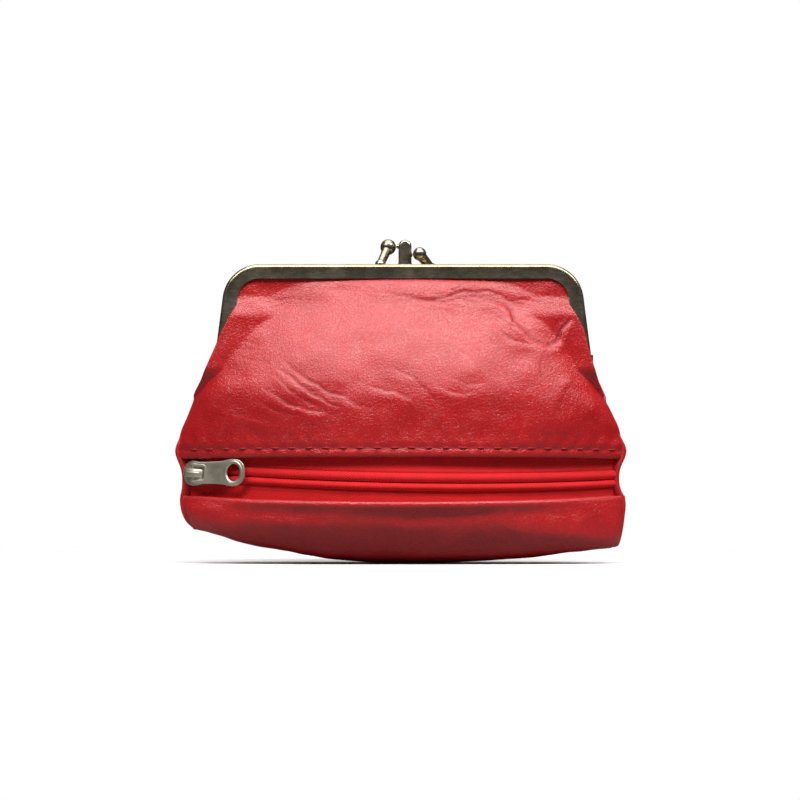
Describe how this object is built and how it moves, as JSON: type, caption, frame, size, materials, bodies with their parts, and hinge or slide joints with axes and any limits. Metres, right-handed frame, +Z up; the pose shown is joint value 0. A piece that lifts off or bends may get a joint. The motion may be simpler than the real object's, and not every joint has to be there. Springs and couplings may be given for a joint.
{
  "type": "coin purse",
  "caption": "Leather coin purse with a twin-top metal frame on one hinge line, crossed ball-clasp knobs and a zipped pocket along the bottom of its front.",
  "frame": {"origin": "centre of the base, on the surface that the purse stands on", "axes": "+Z up, -Y out of the zipped front, +X to the right as the front is looked at"},
  "size_m": [0.1142, 0.0353, 0.0844],
  "materials": {
    "frame_metal": "polished gunmetal nickel plate",
    "clasp_metal": "polished gunmetal nickel plate",
    "red_leather": "soft glossy garment leather",
    "lining_cloth": "plain woven lining",
    "zip_tape": "twill tape",
    "zip_coil": "nylon coil",
    "red_thread": "sewing thread",
    "zip_metal": "satin nickel plate",
    "paper_cord": "twisted paper"
  },
  "bodies": {
    "pouch": {"centre_frame": "frame_metal", "centre_clasp_post": "clasp_metal", "left_hinge_rivet": "clasp_metal", "right_hinge_rivet": "clasp_metal", "divider_panel": "lining_cloth", "front_leather_fold": "red_leather", "back_leather_fold": "red_leather", "lower_front_leather": "red_leather", "lower_back_leather": "red_leather", "base_leather": "red_leather", "zip_pocket_lining": "lining_cloth", "pocket_floor": "lining_cloth", "front_compartment_lining": "lining_cloth", "back_compartment_lining": "lining_cloth", "upper_zip_tape": "zip_tape", "lower_zip_tape": "zip_tape", "upper_zip_coil": "zip_coil", "lower_zip_coil": "zip_coil", "upper_seam_stitching": "red_thread"},
    "front_frame": {"front_channel": "frame_metal", "front_clasp_knob": "clasp_metal", "front_channel_cord": "paper_cord", "upper_front_leather": "red_leather", "front_flap_lining": "lining_cloth"},
    "back_frame": {"back_channel": "frame_metal", "back_clasp_knob": "clasp_metal", "back_channel_cord": "paper_cord", "upper_back_leather": "red_leather", "back_flap_lining": "lining_cloth"},
    "zip_slider": {"slider_body": "zip_metal", "slider_crown": "zip_metal", "slider_lock_spring": "zip_metal"},
    "pull_tab": {"pull_tab": "zip_metal"}
  },
  "joints": [
    {"name": "front_frame_hinge", "type": "hinge", "parent": "pouch", "child": "front_frame", "pos_m": [0, 0, 0.047], "axis": [1, 0, 0], "range_deg": [0, 62], "deforming": ["front_leather_fold"]},
    {"name": "back_frame_hinge", "type": "hinge", "parent": "pouch", "child": "back_frame", "pos_m": [0, 0, 0.047], "axis": [-1, 0, 0], "range_deg": [0, 62], "deforming": ["back_leather_fold"]},
    {"name": "zip_travel", "type": "hinge", "parent": "pouch", "child": "zip_slider", "pos_m": [0.00023, 0.08369, 0.03362], "axis": [0.0173, -0.1305, 0.9913], "range_deg": [0, 60]},
    {"name": "pull_tab_hinge", "type": "hinge", "parent": "zip_slider", "child": "pull_tab", "pos_m": [-0.05401, -0.00378, 0.0232], "axis": [-0.0111, -0.0262, -0.9996], "range_deg": [0, 165]}
  ]
}
